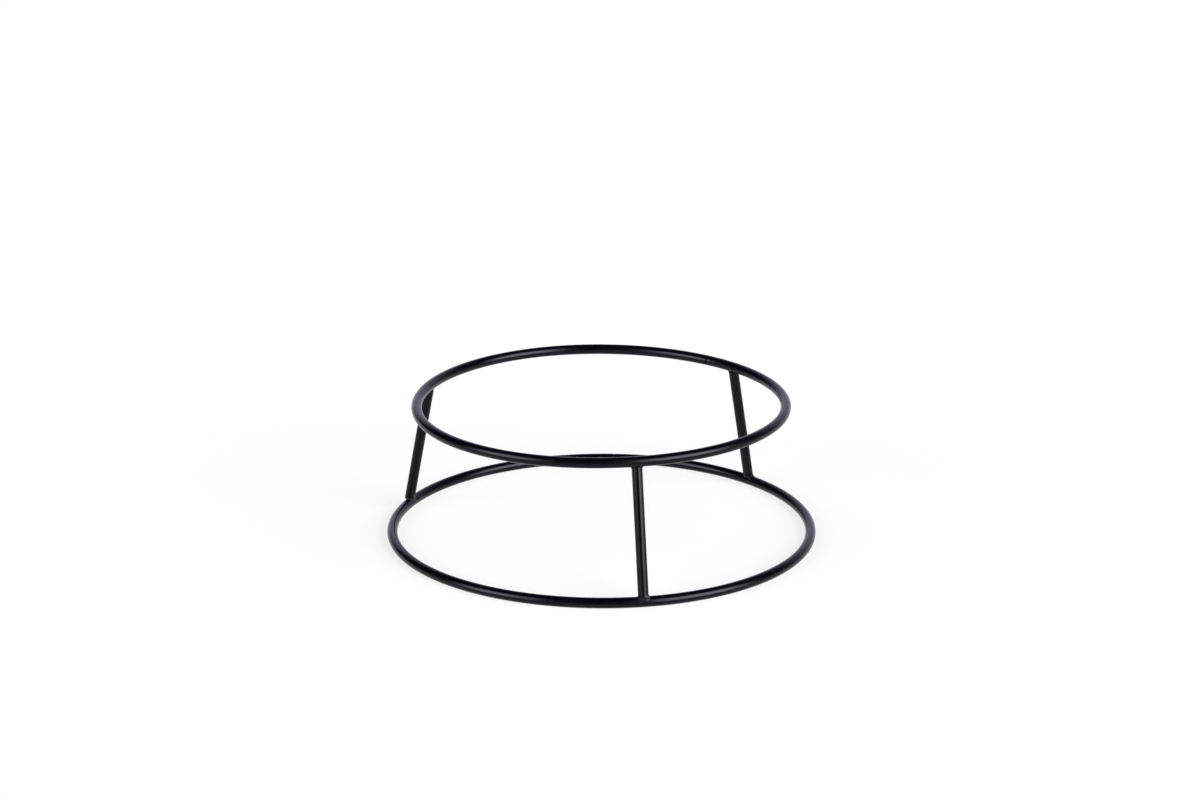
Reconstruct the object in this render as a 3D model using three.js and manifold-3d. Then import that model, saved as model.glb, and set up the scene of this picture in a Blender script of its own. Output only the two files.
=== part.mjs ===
// A low round plant stand of welded, powder-coated steel wire. A large ring stands on the floor, three
// splayed legs rise from it, and the smaller ring on top of them carries the pot or its saucer.
//
// Millimetres, +Z up. The origin is on the floor, under the centre of the rings. Angles round the stand are
// in degrees from the front (-Y) and grow towards the right (+X).

import * as THREE from "three";
import { mergeVertices, toCreasedNormals } from "three/addons/utils/BufferGeometryUtils.js";
import Module from "manifold-3d";

// The stand
const STAND_HEIGHT = 75;
const TOP_RING_DIAMETER = 201; // over the wire
const BASE_RING_DIAMETER = 230; // over the wire
const WIRE_DIAMETER = 5.5; // over the coating, one gauge for the rings and the legs
const LEG_PLACES = ["front", "rear_right", "rear_left"]; // the legs stand evenly round the rings
const CUT_EDGE = 0.2; // the sharp edge at each end of a leg, broken by the coating

// The butt weld that closes each ring is ground a little under the wire, which leaves a groove across it
const GROOVE_WIDTH = 0.7;
const GROOVE_DEPTH = 0.3;
const TOP_SEAM_ANGLE = 131;
const BASE_SEAM_ANGLE = 165;

// The weld metal between a leg and a ring. It climbs the leg from the ring's crown, reaches along the ring
// from its edge on the leg, and wraps round the ring's wire on both sides, in degrees from the leg's axis.
const TOP_WELD = { climb: 0.9, reach: 0.8, wrap: 66 };
const BASE_WELD = { climb: 1.2, reach: 1.4, wrap: 70 };
const WELD_PROUD = 0.45; // how far the metal's edges stand out from the two wires
const WELD_HOLLOW = 0.75; // how far the metal is drawn into the corner: 0 is a straight slope
const WELD_CLEARANCE = 0.25; // between the weld metal, the leg's end and the ring's wire

// Fineness of the facets. The wire has a multiple of 4 sides, so that a ring is level above and below.
const WIRE_SIDES = 20;
const RING_STEPS = 96;
const JOINT_STEPS = 8;
const WELD_SIDES = 32;
const WELD_STEPS = 6;
const CREASE_ANGLE = THREE.MathUtils.degToRad(36);

const WIRE_COAT = { color: 0x18191c, roughness: 0.42, metalness: 0 };
const WELD_COAT = { color: 0x141518, roughness: 0.5, metalness: 0 };

const FULL_TURN = 2 * Math.PI;
const wireRadius = WIRE_DIAMETER / 2;
const topRing = { radius: TOP_RING_DIAMETER / 2 - wireRadius, height: STAND_HEIGHT - wireRadius };
const baseRing = { radius: BASE_RING_DIAMETER / 2 - wireRadius, height: wireRadius };

const wasm = await Module();
wasm.setup();

// An arc at z = 0 round the z axis, between two angles
class RingArc extends THREE.Curve {
  constructor(radius, startAngle, endAngle) {
    super();
    this.radius = radius;
    this.startAngle = startAngle;
    this.endAngle = endAngle;
  }

  getPoint(t, target = new THREE.Vector3()) {
    const angle = THREE.MathUtils.lerp(this.startAngle, this.endAngle, t);
    return target.set(this.radius * Math.sin(angle), -this.radius * Math.cos(angle), 0);
  }
}

// A wire's faceted section touches its true circle in the middle of each flat
function cornerRadius(radius) {
  return radius / Math.cos(Math.PI / WIRE_SIDES);
}

function wireSection(radius) {
  const corners = Array.from({ length: WIRE_SIDES }, (_, corner) => {
    const angle = ((corner + 0.5) / WIRE_SIDES) * FULL_TURN;
    return new THREE.Vector2(Math.cos(angle), Math.sin(angle)).multiplyScalar(cornerRadius(radius));
  });
  return new THREE.Shape(corners);
}

function closed(geometry) {
  geometry.deleteAttribute("normal");
  geometry.deleteAttribute("uv");
  return mergeVertices(geometry);
}

// Wire bent along a ring from one angle to another, with both ends cut square
function bentWire(ringRadius, radius, startAngle, endAngle, steps) {
  const extrudePath = new RingArc(ringRadius, startAngle, endAngle);
  return closed(new THREE.ExtrudeGeometry(wireSection(radius), { steps, extrudePath }));
}

// Straight wire from one height to another, cut square, with the edges of its two ends broken
function straightWire(radius, bottom, top, edge) {
  const profile = [
    new THREE.Vector2(0, bottom),
    new THREE.Vector2(cornerRadius(radius - edge), bottom),
    new THREE.Vector2(cornerRadius(radius), bottom + edge),
    new THREE.Vector2(cornerRadius(radius), top - edge),
    new THREE.Vector2(cornerRadius(radius - edge), top),
    new THREE.Vector2(0, top),
  ];
  return closed(new THREE.LatheGeometry(profile, WIRE_SIDES).rotateX(Math.PI / 2));
}

function solidFrom(geometry) {
  const vertProperties = new Float32Array(geometry.getAttribute("position").array);
  const triVerts = new Uint32Array(geometry.getIndex().array);
  return new wasm.Manifold(new wasm.Mesh({ numProp: 3, vertProperties, triVerts }));
}

function geometryFrom(solid) {
  const { vertProperties, triVerts } = solid.getMesh();
  const geometry = new THREE.BufferGeometry();
  geometry.setAttribute("position", new THREE.BufferAttribute(vertProperties, 3));
  geometry.setIndex(new THREE.BufferAttribute(triVerts, 1));
  return geometry;
}

function mesh(name, geometry, coat) {
  const shaded = toCreasedNormals(geometry, CREASE_ANGLE);
  const piece = new THREE.Mesh(shaded, new THREE.MeshStandardMaterial(coat));
  piece.name = name;
  return piece;
}

// A ring's wire starts and ends at its groove, and the group is turned to bring the groove to its angle
function closedRing(name, { radius, height }, seamAngle) {
  const halfGroove = GROOVE_WIDTH / 2 / radius;
  const wire = bentWire(radius, wireRadius, halfGroove, FULL_TURN - halfGroove, RING_STEPS);
  const weld = bentWire(radius, wireRadius - GROOVE_DEPTH, -halfGroove, halfGroove, 1);
  const group = new THREE.Group();
  group.position.z = height;
  group.rotation.z = THREE.MathUtils.degToRad(seamAngle);
  group.add(mesh(name, wire, WIRE_COAT), mesh(`${name}_butt_weld`, weld, WELD_COAT));
  return group;
}

// A joint's own frame has its origin on the ring's centreline, the ring along x and the leg up z. The outer
// surface of the weld metal is a hollow fillet from its edge on the leg, a level circle, to its edge on the
// ring, a saddle line that falls away to both sides of the ring.
function weldFillet({ climb, reach, wrap }, turn) {
  const along = Math.cos(turn);
  const across = Math.sin(turn);
  const edgeRadius = wireRadius + WELD_PROUD;
  const wrapped = THREE.MathUtils.degToRad(wrap) * across;
  const onLeg = new THREE.Vector3(edgeRadius * along, edgeRadius * across, wireRadius + climb);
  const onRing = new THREE.Vector3(
    (edgeRadius + reach) * along,
    edgeRadius * Math.sin(wrapped),
    edgeRadius * Math.cos(wrapped),
  );
  const corner = new THREE.Vector3(onLeg.x, onLeg.y, Math.max(onRing.z, edgeRadius * Math.abs(along)));
  const pull = new THREE.Vector3().lerpVectors(onLeg, onRing, 0.5).lerp(corner, WELD_HOLLOW);
  return new THREE.QuadraticBezierCurve3(onLeg, pull, onRing);
}

// The weld metal with the wires still in it: the fillets all round, closed over the leg and inside the ring
function weldBlob(size) {
  const fillets = Array.from({ length: WELD_SIDES }, (_, side) =>
    weldFillet(size, (side / WELD_SIDES) * FULL_TURN).getPoints(WELD_STEPS),
  );
  const insideLeg = new THREE.Vector3(0, 0, wireRadius + size.climb);
  const insideRing = new THREE.Vector3(0, 0, 0);
  const points = [...fillets.flat(), insideLeg, insideRing];
  const legCentre = points.indexOf(insideLeg);
  const ringCentre = points.indexOf(insideRing);

  const faces = [];
  const rowLength = WELD_STEPS + 1;
  for (let side = 0; side < WELD_SIDES; side++) {
    const here = side * rowLength;
    const next = ((side + 1) % WELD_SIDES) * rowLength;
    faces.push(legCentre, here, next);
    for (let step = 0; step < WELD_STEPS; step++) {
      faces.push(here + step, here + step + 1, next + step + 1);
      faces.push(here + step, next + step + 1, next + step);
    }
    faces.push(ringCentre, next + WELD_STEPS, here + WELD_STEPS);
  }
  return new THREE.BufferGeometry().setFromPoints(points).setIndex(faces);
}

// Weld metal that seats on the ring's round wire and round the leg's end, clear of both
function weldMetal(size, ring, tilt) {
  const spaceRadius = wireRadius + WELD_CLEARANCE;
  const blobLength = 2 * (wireRadius + WELD_PROUD + size.reach);
  const spaceArc = blobLength / ring.radius;
  const ringSpace = bentWire(ring.radius, spaceRadius, -spaceArc, spaceArc, JOINT_STEPS);
  ringSpace.translate(0, ring.radius, 0).rotateX(-tilt);

  const legCorner = cornerRadius(spaceRadius);
  const legSpace = closed(new THREE.CylinderGeometry(legCorner, legCorner, blobLength, WIRE_SIDES));
  legSpace.rotateX(Math.PI / 2).translate(0, 0, wireRadius + blobLength / 2);

  const metal = solidFrom(weldBlob(size)).subtract(solidFrom(ringSpace)).subtract(solidFrom(legSpace));
  return geometryFrom(metal);
}

// A leg runs along the line between the centrelines of the two rings, and its ends stop just clear of them
function legWithWelds(place, turn) {
  const foot = new THREE.Vector3(0, -baseRing.radius, baseRing.height);
  const head = new THREE.Vector3(0, -topRing.radius, topRing.height);
  const lean = Math.atan2(head.y - foot.y, head.z - foot.z);
  const bottom = wireRadius + WELD_CLEARANCE;
  const top = foot.distanceTo(head) - bottom;
  const leg = mesh(`leg_${place}`, straightWire(wireRadius, bottom, top, CUT_EDGE), WIRE_COAT);

  const footJoint = new THREE.Group();
  footJoint.position.copy(foot);
  footJoint.rotation.x = -lean;
  footJoint.add(leg);
  footJoint.add(mesh(`weld_base_${place}`, weldMetal(BASE_WELD, baseRing, -lean), WELD_COAT));

  const headJoint = new THREE.Group();
  headJoint.position.copy(head);
  headJoint.rotation.x = Math.PI - lean;
  headJoint.add(mesh(`weld_top_${place}`, weldMetal(TOP_WELD, topRing, Math.PI - lean), WELD_COAT));

  const group = new THREE.Group();
  group.rotation.z = turn;
  group.add(footJoint, headJoint);
  return group;
}

const stand = new THREE.Group();
stand.add(closedRing("top_ring", topRing, TOP_SEAM_ANGLE));
stand.add(closedRing("base_ring", baseRing, BASE_SEAM_ANGLE));
for (const [count, place] of LEG_PLACES.entries()) {
  stand.add(legWithWelds(place, (count / LEG_PLACES.length) * FULL_TURN));
}

export default stand;
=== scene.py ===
"""Looks of a low round plant stand of welded steel wire with a satin black powder coat.

Metres, +Z up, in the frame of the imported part. Angles round the stand start at the front (-Y) and grow
towards the right (+X), and the named ones are in degrees. The sizes of the rings and the places of the legs
and seams come from the frame.
"""

import math
from dataclasses import dataclass

import bmesh
import bpy
import numpy as np
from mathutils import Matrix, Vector, noise


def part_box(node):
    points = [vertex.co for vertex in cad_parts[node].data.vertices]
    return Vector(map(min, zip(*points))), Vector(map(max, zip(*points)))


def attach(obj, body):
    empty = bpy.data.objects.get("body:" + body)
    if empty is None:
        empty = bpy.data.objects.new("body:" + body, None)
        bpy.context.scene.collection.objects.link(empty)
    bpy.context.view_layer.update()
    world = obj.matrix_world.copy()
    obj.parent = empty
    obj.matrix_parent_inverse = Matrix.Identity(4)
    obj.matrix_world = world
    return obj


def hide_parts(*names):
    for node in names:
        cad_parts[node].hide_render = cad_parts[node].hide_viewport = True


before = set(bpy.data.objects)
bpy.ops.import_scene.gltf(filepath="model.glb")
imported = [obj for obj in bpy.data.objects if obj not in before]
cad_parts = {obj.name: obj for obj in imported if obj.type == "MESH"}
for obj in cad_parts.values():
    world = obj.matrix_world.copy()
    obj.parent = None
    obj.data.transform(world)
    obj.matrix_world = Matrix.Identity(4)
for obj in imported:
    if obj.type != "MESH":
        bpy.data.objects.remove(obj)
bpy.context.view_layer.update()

MM = 0.001
BODY = "root"
UP = Vector((0, 0, 1))

# The camera
CAMERA_AZIMUTH = -11.373
CAMERA_ELEVATION = 17.927
CAMERA_DISTANCE = 1680.6 * MM
CAMERA_TARGET = Vector((-0.997, 0.201, 74.007)) * MM
CAMERA_CLIP = {"start": 0.01, "end": 50}
LENS = 95.22
SENSOR_WIDTH = 36

# The studio, in degrees. Azimuths start at the camera's side and grow to the right, or to the left for what
# stands on the left. Each pair is where the light starts and where it is full.
RIGHT_LAMP = {"strength": 12.0, "inner": (18, 43), "outer": (88, 63), "above": (58, 31)}
LEFT_LAMP = {"strength": 9.6, "inner": (25, 54), "outer": (87, 63), "above": (52, 24)}
LAMP_COLOR = (1.0, 0.995, 1.0)
BACKDROP = {"right": (100, 152), "left": (126, 166), "above": (48, 22)}
BACKDROP_COLOR = (0.89, 0.85, 1.17)
FLOOR_COLOR = (0.88, 0.88, 0.88)
FLOOR_WHITE = 0.75  # how much of what the camera and gloss see of the floor is its own white, not lamplight
FLOOR_HALF_WIDTH = 6.0
WHITE = (1, 1, 1)
FRONT_TO_X = 90  # degrees from the front to +X

# Fineness of the meshes
WIRE_SIDES = 40
RING_STEP = 1.5 * MM
LEG_STEP = 2.0 * MM
EDGE_STEPS = 4
END_ZONE = 2.2 * MM  # near its ends, a wire has closer stations
END_STEPS = 10
SHORT_WIRE_ZONES = 3  # a wire too short for two such zones and a middle is cut into this many equal ones
BEAD_SUBDIVISIONS = 6
BEAD_SEARCH_STEPS = 260
TANGENT_STEP = 0.001  # radians
LEAST_REACH = 0.01 * MM  # stands in for the reach of a point on a leg's axis, which is 0

# How the hand-bent rings leave their circles: the change of the mean radius in mm, then waves of the radius
# as (how many round the ring, size in mm, angle of a crest). One wave is a ring that sits off the middle,
# and three are a ring drawn in at its welds.
OUT_OF_ROUND = {
    "top_ring": (-0.26, [(1, 0.9, -104), (2, 0.25, -70), (3, 0.7, -54)]),
    "base_ring": (-0.42, [(3, 0.45, 38)]),
}
# How far each leg is welded from its even place: in degrees at its foot and its head, and in mm outwards at
# its foot
LEG_SHIFTS = {
    "front": {"foot": -0.55, "head": -1.0, "outwards": 0},
    "rear_right": {"foot": 1.2, "head": 0.35, "outwards": 0},
    "rear_left": {"foot": -1.35, "head": 0.6, "outwards": 0.8},
}

# The wires
CUT_EDGE = 0.22 * MM  # rounding of a cut end under the coat
SURFACE_WAVE = 0.012 * MM  # unevenness of the drawn wire and its coat
WAVE_LENGTH = 7 * MM
LEG_SEAT = 0.25 * MM  # how deep a leg's end is fused into its ring

# The coat: its colours in the dark and the pale clouds, its roughness in the smoothest and the dullest
# patches, and the height and length of the orange peel on its skin
COAT_IOR = 1.25
COAT_TINT = (0.90, 0.885, 1.0, 1)
COATS = {
    "coated_wire": {
        "dark": (0.0006, 0.0005, 0.0014, 1), "pale": (0.0014, 0.0013, 0.0026, 1),
        "roughness": (0.17, 0.24), "peel": 0.014 * MM, "peel_length": 0.9 * MM,
    },
    "coated_weld": {
        "dark": (0.0006, 0.0005, 0.0012, 1), "pale": (0.0016, 0.0015, 0.0026, 1),
        "roughness": (0.28, 0.38), "peel": 0.026 * MM, "peel_length": 0.7 * MM,
    },
}
CLOUDS = {"length": 16 * MM, "detail": 3}
CLOUD_RANGE = (0.35, 0.65)  # the noise's values where the coat is darkest and palest
PATCHES = {"length": 4 * MM, "detail": 4}
PATCH_RANGE = (0.3, 0.7)  # the noise's values where the coat is smoothest and dullest
GRAIN_FINENESS = 3  # the peel carries a finer grain, so many times shorter
GRAIN_SHARE = 0.35

# The butt welds: the groove across the ring, and the low burr left on the ring's end beside it, in mm
SEAMS = {
    "top_ring": {"width": 0.9, "depth": 0.6, "burr": 0.1},
    "base_ring": {"width": 0.7, "depth": 0.12, "burr": 0},
}
SEAM_OVERLAP = 0.6 * MM  # how far the weld reaches into each end of the ring
BURR_PLACE = 0.75 * MM  # from the end of the wire
BURR_WIDTH = 0.4 * MM

# The welds between legs and rings, in mm, each seen from outside the stand with its leg pointing up. The
# first four values are the fillet's size on the sides of the leg. A lump is (to the right, outwards, up the
# leg, radius), from the joint's origin.
BEADS = {
    "weld_base_front": {
        "right": 0.9, "left": 0.8, "outer": 2.2, "inner": 1.8,
        "lumps": [(2.0, 1.4, 2.4, 0.9), (-1.6, 1.9, 2.3, 0.7)],
    },
    "weld_base_rear_right": {
        "right": 0.5, "left": 1.2, "outer": 1.6, "inner": 0.5,
        "lumps": [(-2.0, 1.2, 1.9, 0.7)],
    },
    "weld_base_rear_left": {
        "right": 0.4, "left": 1.6, "outer": 0.3, "inner": 1.3,
        "lumps": [(-1.6, 0.9, 1.7, 0.7)],
    },
    "weld_top_front": {
        "right": 1.5, "left": 1.4, "outer": 1.6, "inner": 1.3,
        "lumps": [(1.5, 2.1, 4.4, 0.7), (-1.3, 2.2, 4.7, 0.65)],
    },
    "weld_top_rear_right": {
        "right": 0.4, "left": 0.5, "outer": 1.2, "inner": 1.3,
        "lumps": [(-1.2, 1.8, 1.7, 0.6)],
    },
    "weld_top_rear_left": {
        "right": 1.2, "left": 1.2, "outer": 1.3, "inner": 0.8,
        "lumps": [(-1.2, 1.8, 1.6, 0.6)],
    },
}
BEAD_SINK = 0.03 * MM  # how far the metal runs under the coat of the wires at its edge
BEAD_TAPER = 0.8  # how fast the metal ends beyond the fillet
BEAD_RIPPLE = 0.16 * MM
RIPPLE_LENGTH = 1.3 * MM
BEAD_REACH = 9 * MM  # how far from the middle of a joint its surface is looked for
LUMP_BLEND = 0.9 * MM


# The rings

def azimuth_of(node):
    """The angle round the stand of a node, in radians"""
    low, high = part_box(node)
    centre = (low + high) / 2
    return math.atan2(centre.x, -centre.y)


def height_of(node):
    low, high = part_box(node)
    return high.z - low.z


WIRE_RADIUS = height_of("top_ring") / 2  # a ring lies level, so it is as high as its wire is thick


class Ring:
    """A level ring of wire, nearly round, by its centreline"""

    def __init__(self, node):
        low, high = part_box(node)
        self.node = node
        self.circle = (high.x - low.x) / 2 - WIRE_RADIUS
        self.height = (low.z + high.z) / 2
        self.seam = azimuth_of(f"{node}_butt_weld")

    def radius(self, angle):
        shift, waves = OUT_OF_ROUND[self.node]
        swell = sum(size * np.cos(count * (angle - math.radians(crest))) for count, size, crest in waves)
        return self.circle + (shift + swell) * MM

    def point(self, angle):
        radius = self.radius(angle)
        return Vector((radius * math.sin(angle), -radius * math.cos(angle), self.height))

    def tangent(self, angle):
        return (self.point(angle + TANGENT_STEP) - self.point(angle - TANGENT_STEP)).normalized()

    def outward(self, angle):
        tangent = self.tangent(angle)
        return Vector((tangent.y, -tangent.x, 0))


RINGS = {node: Ring(node) for node in ("top_ring", "base_ring")}


# Meshes

def smooth_object(name, mesh):
    mesh.shade_smooth()
    piece = bpy.data.objects.new(name, mesh)
    bpy.context.scene.collection.objects.link(piece)
    return piece


def mesh_object(name, points, faces):
    mesh = bpy.data.meshes.new(name)
    mesh.from_pydata(points, [], faces)
    return smooth_object(name, mesh)


def stations(length, step):
    """Distances along a wire, closer near its ends, and how far its section shrinks where it is rounded"""
    turns = np.linspace(0, math.pi / 2, EDGE_STEPS + 1)
    edge = CUT_EDGE * (1 - np.cos(turns))
    shrink = CUT_EDGE * (1 - np.sin(turns))
    zone = min(END_ZONE, length / SHORT_WIRE_ZONES)
    near_end = np.linspace(CUT_EDGE, zone, END_STEPS + 1)[1:]
    middle_steps = max(round((length - 2 * zone) / step), 1)
    middle = np.linspace(zone, length - zone, middle_steps + 1)[1:-1]
    start = np.concatenate([edge, near_end])
    distances = np.concatenate([start, middle, length - start[::-1]])
    insets = np.zeros(len(distances))
    insets[:len(shrink)] = shrink
    insets[-len(shrink):] = shrink[::-1]
    return distances, insets


def wave(point, size, length):
    return size * noise.noise(point / length)


def swept(name, centres, across, above, radii, rises):
    """A closed body of round sections. Each has a centre, two unit vectors in its plane, a radius, and how
    far a burr stands out of it sideways."""
    turns = [math.tau * side / WIRE_SIDES for side in range(WIRE_SIDES)]
    points = []
    for centre, sideways, upwards, radius, rise in zip(centres, across, above, radii, rises):
        for turn in turns:
            out = sideways * math.cos(turn) + upwards * math.sin(turn)
            point = centre + out * radius + sideways * math.cos(turn) * rise
            points.append(point + out * (wave(point, SURFACE_WAVE, WAVE_LENGTH) - SURFACE_WAVE))
    faces = []
    last_row = (len(centres) - 1) * WIRE_SIDES
    for first in range(0, last_row, WIRE_SIDES):
        for side in range(WIRE_SIDES):
            here, there = first + side, first + (side + 1) % WIRE_SIDES
            faces.append((here, there, there + WIRE_SIDES, here + WIRE_SIDES))
    faces.append(tuple(reversed(range(WIRE_SIDES))))
    faces.append(tuple(range(last_row, last_row + WIRE_SIDES)))
    return mesh_object(name, points, faces)


def bent_wire(name, ring, start, end, radius, burr=0.0):
    """Wire bent along a ring between two angles, with a burr near its end"""
    length = (end - start) * ring.circle
    distances, insets = stations(length, RING_STEP)
    rises = burr * np.exp(-((length - distances - BURR_PLACE) / BURR_WIDTH) ** 2)
    angles = [start + distance / ring.circle for distance in distances]
    centres = [ring.point(angle) for angle in angles]
    across = [ring.outward(angle) for angle in angles]
    above = [UP] * len(angles)
    return swept(name, centres, across, above, radius - insets, rises)


def straight_wire(name, start, end, sideways):
    """Wire between two points, with a unit vector square to it"""
    axis = (end - start).normalized()
    distances, insets = stations((end - start).length, LEG_STEP)
    centres = [start + axis * distance for distance in distances]
    count = len(distances)
    across, above = [sideways] * count, [axis.cross(sideways)] * count
    return swept(name, centres, across, above, WIRE_RADIUS - insets, [0.0] * count)


# Weld beads: the surface is where a smooth union of the two wires and the lumps ends

@dataclass
class Joint:
    """Where a leg meets a ring: the origin on the leg's axis, as high as the ring's centreline, and the
    axes of the bead's description"""
    ring: Ring
    origin: Vector
    right: Vector
    out: Vector
    up: Vector


def joint_at(ring, angle, offset, other_end):
    """The joint of a leg that leaves the ring at an angle round the stand, at an offset outwards of the
    ring's centreline, and runs to its other end"""
    origin = ring.point(angle) + ring.outward(angle) * offset
    up = (other_end - origin).normalized()
    tangent = ring.tangent(angle)
    right = (tangent - up * tangent.dot(up)).normalized()
    out = right.cross(up)
    if out.dot(ring.outward(angle)) < 0:
        out.negate()
    return Joint(ring, origin, right, out, up)


def smooth_union(first, second, blend):
    """The distance to two joined bodies, filleted where their own distances are within a blend"""
    overlap = np.maximum(blend - np.abs(first - second), 0)
    return np.minimum(first, second) - overlap ** 2 / (4 * blend)


def distance_to_ring(points, ring):
    angles = np.arctan2(points[:, 0], -points[:, 1])
    from_axis = np.hypot(points[:, 0], points[:, 1]) - ring.radius(angles)
    return np.hypot(from_axis, points[:, 2] - ring.height) - WIRE_RADIUS


def distance_to_leg(right, out, up):
    """Distance to a leg whose square-cut end stands on its ring"""
    beside = np.hypot(right, out) - WIRE_RADIUS
    below = WIRE_RADIUS - LEG_SEAT - up
    return np.minimum(np.maximum(beside, below), 0) + np.hypot(np.maximum(beside, 0), np.maximum(below, 0))


def fillet_size(bead, right, out):
    """The size of the fillet on the side of the leg where a point is"""
    reach = np.maximum(np.hypot(right, out), LEAST_REACH)
    lengthwise = np.where(right > 0, bead["right"], bead["left"])
    crosswise = np.where(out > 0, bead["outer"], bead["inner"])
    share = (right / reach) ** 2
    return MM * (share * lengthwise + (1 - share) * crosswise)


def bead_depth(bead, joint, points, ripple):
    """How far points are outside the weld metal, below 0 inside it"""
    offsets = points - np.array(joint.origin)
    right, out, up = (offsets @ np.array(axis) for axis in (joint.right, joint.out, joint.up))
    to_ring = distance_to_ring(points, joint.ring)
    to_leg = distance_to_leg(right, out, up)
    size = fillet_size(bead, right, out)
    apart = np.maximum(np.abs(to_ring - to_leg) - size, 0)
    depth = smooth_union(to_ring, to_leg, size) + BEAD_SINK + BEAD_TAPER * apart
    for lump_right, lump_out, lump_up, radius in bead["lumps"]:
        centre = np.array((lump_right, lump_out, lump_up)) * MM
        to_lump = np.linalg.norm(np.stack((right, out, up), 1) - centre, axis=1) - radius * MM
        depth = smooth_union(depth, to_lump, LUMP_BLEND)
    return depth + ripple


def weld_bead(name, joint, bead):
    """Looks outwards from the middle of the joint in every direction for the surface of the weld metal"""
    shape = bmesh.new()
    bmesh.ops.create_icosphere(shape, subdivisions=BEAD_SUBDIVISIONS, radius=1)
    directions = np.array([vert.co for vert in shape.verts])
    middle = joint.origin + joint.up * WIRE_RADIUS
    ripple = np.array([
        wave(middle + vert.co * WIRE_RADIUS, BEAD_RIPPLE, RIPPLE_LENGTH) for vert in shape.verts
    ])
    start = np.array(middle)
    surface = np.zeros(len(directions))
    inside = np.ones(len(directions), bool)
    for distance in np.linspace(0, BEAD_REACH, BEAD_SEARCH_STEPS):
        depth = bead_depth(bead, joint, start + directions * distance, ripple)
        inside &= depth < 0
        surface[inside] = distance
    for vert, point in zip(shape.verts, start + directions * surface[:, None]):
        vert.co = point
    mesh = bpy.data.meshes.new(name)
    shape.to_mesh(mesh)
    shape.free()
    return smooth_object(name, mesh)


# Materials

class Tree:
    """The node tree of a material or a world, emptied and then built up"""

    # A node that mixes colours has these sockets for its factor and two colours, and this one for the mix
    MIX_INPUTS = (0, 6, 7)
    MIX_OUTPUT = 2

    def __init__(self, owner):
        owner.use_nodes = True
        self.tree = owner.node_tree
        self.tree.nodes.clear()

    def feed(self, socket, value):
        if isinstance(value, bpy.types.NodeSocket):
            self.tree.links.new(value, socket)
        else:
            socket.default_value = value

    def add(self, kind, *values, settings=None, **inputs):
        """A new node with its settings, and its inputs in order or by name"""
        node = self.tree.nodes.new(kind)
        for key, value in (settings or {}).items():
            setattr(node, key, value)
        for socket, value in zip(node.inputs, values):
            self.feed(socket, value)
        for key, value in inputs.items():
            self.feed(node.inputs[key.replace("_", " ")], value)
        return node

    def math(self, operation, *values):
        return self.add("ShaderNodeMath", *values, settings={"operation": operation}).outputs[0]

    def ramp(self, value, start, end, low=0.0, high=1.0, easing="SMOOTHSTEP"):
        node = self.add(
            "ShaderNodeMapRange", settings={"interpolation_type": easing},
            Value=value, From_Min=start, From_Max=end, To_Min=low, To_Max=high,
        )
        return node.outputs[0]

    def mix(self, *values):
        node = self.add("ShaderNodeMix", settings={"data_type": "RGBA"})
        for index, value in zip(self.MIX_INPUTS, values):
            self.feed(node.inputs[index], value)
        return node.outputs[self.MIX_OUTPUT]

    def noise(self, place, length, detail=2.0):
        node = self.add("ShaderNodeTexNoise", Vector=place, Scale=1 / length, Detail=detail)
        return node.outputs[0]

    def background(self, color, strength):
        return self.add("ShaderNodeBackground", Color=(*color, 1), Strength=strength).outputs[0]


def powder_coat(name, dark, pale, roughness, peel, peel_length):
    """Satin black powder coat: faint clouds in tone and gloss over an orange-peel skin"""
    material = bpy.data.materials.new(name)
    tree = Tree(material)
    place = tree.add("ShaderNodeTexCoord").outputs["Object"]
    tone = tree.mix(tree.ramp(tree.noise(place, **CLOUDS), *CLOUD_RANGE), dark, pale)
    gloss = tree.ramp(tree.noise(place, **PATCHES), *PATCH_RANGE, *roughness, easing="LINEAR")
    grain = tree.math("MULTIPLY", tree.noise(place, peel_length / GRAIN_FINENESS), GRAIN_SHARE)
    skin = tree.math("ADD", tree.noise(place, peel_length), grain)
    bump = tree.add("ShaderNodeBump", Strength=1.0, Distance=peel, Height=skin)
    shader = tree.add(
        "ShaderNodeBsdfPrincipled", Base_Color=tone, Roughness=gloss, Normal=bump.outputs[0],
        IOR=COAT_IOR, Specular_Tint=COAT_TINT,
    )
    tree.add("ShaderNodeOutputMaterial", Surface=shader.outputs[0])
    return material


def floor_material():
    """A pale floor under the lamps, which the camera and gloss see whiter than it is lit"""
    material = bpy.data.materials.new("floor")
    tree = Tree(material)
    lit = tree.add("ShaderNodeBsdfDiffuse", Color=(*FLOOR_COLOR, 1)).outputs[0]
    white = tree.add("ShaderNodeEmission", Color=(*WHITE, 1), Strength=1.0).outputs[0]
    path = tree.add("ShaderNodeLightPath").outputs
    seen = tree.math("MAXIMUM", path["Is Camera Ray"], path["Is Glossy Ray"])
    seen = tree.math("MAXIMUM", seen, path["Is Transmission Ray"])
    mixed = tree.add("ShaderNodeMixShader", tree.math("MULTIPLY", seen, FLOOR_WHITE), lit, white)
    tree.add("ShaderNodeOutputMaterial", Surface=mixed.outputs[0])
    return material


# The studio

def lamp_strength(tree, azimuth, elevation, lamp):
    """A soft lamp's strength by direction, where the azimuth grows towards the lamp's own side"""
    across = tree.math("MULTIPLY", tree.ramp(azimuth, *lamp["inner"]), tree.ramp(azimuth, *lamp["outer"]))
    shape = tree.math("MULTIPLY", across, tree.ramp(elevation, *lamp["above"]))
    return tree.math("MULTIPLY", shape, lamp["strength"])


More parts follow.
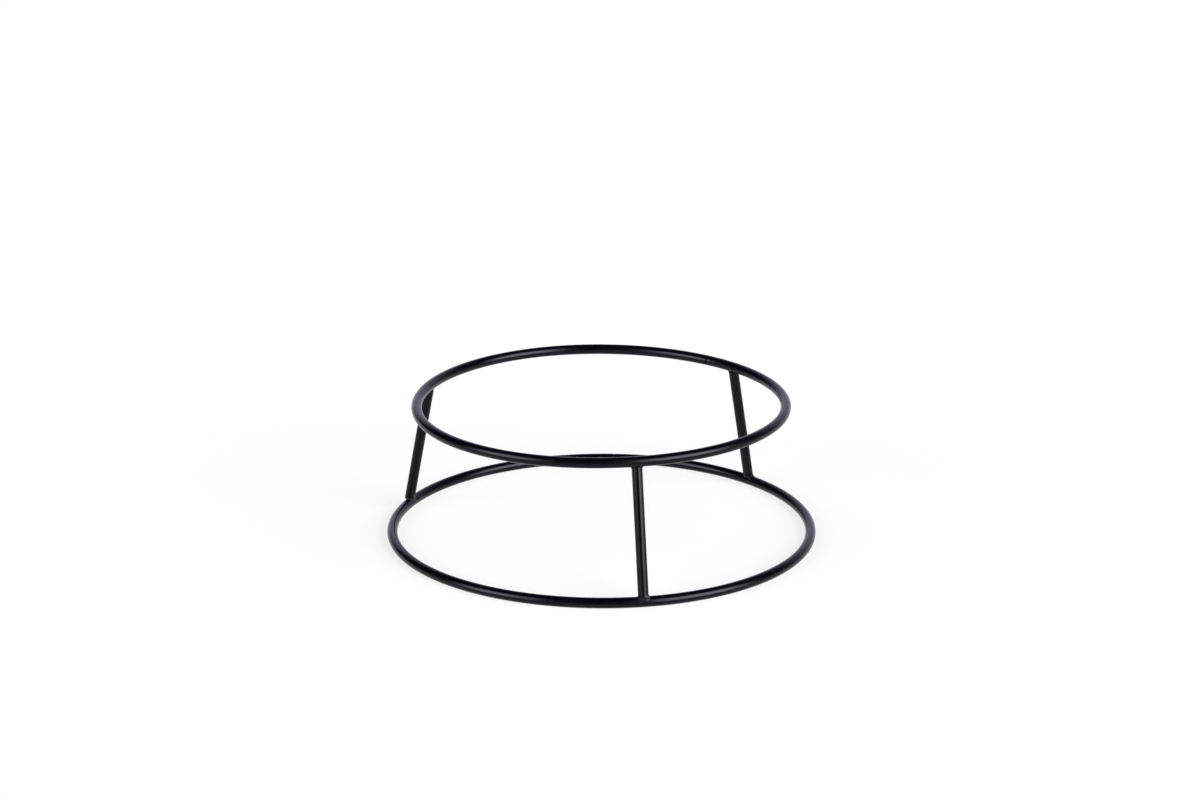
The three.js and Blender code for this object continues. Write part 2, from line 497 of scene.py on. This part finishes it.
def studio_directions(tree):
    """A direction's azimuth to the right and to the left of the camera's side, and its elevation, all in
    degrees"""
    turned = tree.add(
        "ShaderNodeVectorRotate", settings={"rotation_type": "Z_AXIS"},
        Vector=tree.add("ShaderNodeTexCoord").outputs["Generated"],
        Angle=math.radians(FRONT_TO_X - CAMERA_AZIMUTH),
    ).outputs[0]
    parts = tree.add("ShaderNodeSeparateXYZ", turned).outputs
    to_right = tree.math("DEGREES", tree.math("ARCTAN2", parts["Y"], parts["X"]))
    to_left = tree.math("MULTIPLY", to_right, -1.0)
    elevation = tree.math("DEGREES", tree.math("ARCSINE", parts["Z"]))
    return to_right, to_left, elevation


def build_world():
    """Two soft lamps beside a white backdrop, in a studio that is dark overhead and on the camera's side.
    The camera itself sees white all round, and gloss shows the backdrop."""
    world = bpy.data.worlds.new("studio")
    bpy.context.scene.world = world
    tree = Tree(world)
    to_right, to_left, elevation = studio_directions(tree)
    right_lamp = lamp_strength(tree, to_right, elevation, RIGHT_LAMP)
    left_lamp = lamp_strength(tree, to_left, elevation, LEFT_LAMP)
    right_part, left_part = tree.ramp(to_right, *BACKDROP["right"]), tree.ramp(to_left, *BACKDROP["left"])
    across = tree.math("ADD", right_part, left_part)
    backdrop = tree.math("MULTIPLY", across, tree.ramp(elevation, *BACKDROP["above"]))
    studio = tree.add(
        "ShaderNodeAddShader",
        tree.background(LAMP_COLOR, tree.math("ADD", right_lamp, left_lamp)),
        tree.background(BACKDROP_COLOR, backdrop),
    )
    camera_ray = tree.add("ShaderNodeLightPath").outputs["Is Camera Ray"]
    white = tree.background(WHITE, 1.0)
    chosen = tree.add("ShaderNodeMixShader", camera_ray, studio.outputs[0], white)
    tree.add("ShaderNodeOutputWorld", Surface=chosen.outputs[0])


def build_floor():
    width = FLOOR_HALF_WIDTH
    corners = [(-width, -width, 0), (width, -width, 0), (width, width, 0), (-width, width, 0)]
    floor = mesh_object("floor", corners, [(0, 1, 2, 3)])
    floor.data.materials.append(floor_material())


def build_camera():
    camera = bpy.data.objects.new("camera", bpy.data.cameras.new("camera"))
    bpy.context.scene.collection.objects.link(camera)
    azimuth, elevation = math.radians(CAMERA_AZIMUTH), math.radians(CAMERA_ELEVATION)
    level = math.cos(elevation)
    back = Vector((math.sin(azimuth) * level, -math.cos(azimuth) * level, math.sin(elevation)))
    camera.location = CAMERA_TARGET + back * CAMERA_DISTANCE
    camera.rotation_euler = back.to_track_quat("Z", "Y").to_euler()
    camera.data.lens = LENS
    camera.data.sensor_width = SENSOR_WIDTH
    camera.data.sensor_fit = "HORIZONTAL"
    camera.data.clip_start = CAMERA_CLIP["start"]
    camera.data.clip_end = CAMERA_CLIP["end"]
    bpy.context.scene.camera = camera


# The stand

def finish_piece(piece, node, slot, materials):
    piece.data.materials.append(materials[slot])
    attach(piece, BODY)
    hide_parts(node)


def build_ring(node, ring, materials):
    """A ring's wire, open at its seam, and the weld that closes it at the bottom of the groove"""
    seam = SEAMS[node]
    half_gap = seam["width"] * MM / 2 / ring.circle
    start, end = ring.seam + half_gap, ring.seam + math.tau - half_gap
    wire = bent_wire(f"{node}_wire", ring, start, end, WIRE_RADIUS, seam["burr"] * MM)
    finish_piece(wire, node, "coated_wire", materials)
    half_length = half_gap + SEAM_OVERLAP / ring.circle
    start, end = ring.seam - half_length, ring.seam + half_length
    weld = bent_wire(f"{node}_seam", ring, start, end, WIRE_RADIUS - seam["depth"] * MM)
    finish_piece(weld, f"{node}_butt_weld", "coated_weld", materials)


def build_leg(place, shift, materials):
    """A leg's wire and the weld beads at its foot and its head"""
    base_ring, top_ring = RINGS["base_ring"], RINGS["top_ring"]
    even_place = azimuth_of(f"leg_{place}")
    foot_angle = even_place + math.radians(shift["foot"])
    head_angle = even_place + math.radians(shift["head"])
    foot = joint_at(base_ring, foot_angle, shift["outwards"] * MM, top_ring.point(head_angle))
    head = joint_at(top_ring, head_angle, 0, foot.origin)
    start, end = (joint.origin + joint.up * (WIRE_RADIUS - LEG_SEAT) for joint in (foot, head))
    wire = straight_wire(f"leg_{place}_wire", start, end, foot.right)
    finish_piece(wire, f"leg_{place}", "coated_wire", materials)
    for level, joint in (("base", foot), ("top", head)):
        node = f"weld_{level}_{place}"
        bead = weld_bead(f"{node}_bead", joint, BEADS[node])
        finish_piece(bead, node, "coated_weld", materials)


def build_stand():
    materials = {slot: powder_coat(slot, **coat) for slot, coat in COATS.items()}
    for node, ring in RINGS.items():
        build_ring(node, ring, materials)
    for place, shift in LEG_SHIFTS.items():
        build_leg(place, shift, materials)


bpy.context.scene.view_settings.view_transform = "Standard"
build_camera()
build_world()
build_floor()
build_stand()
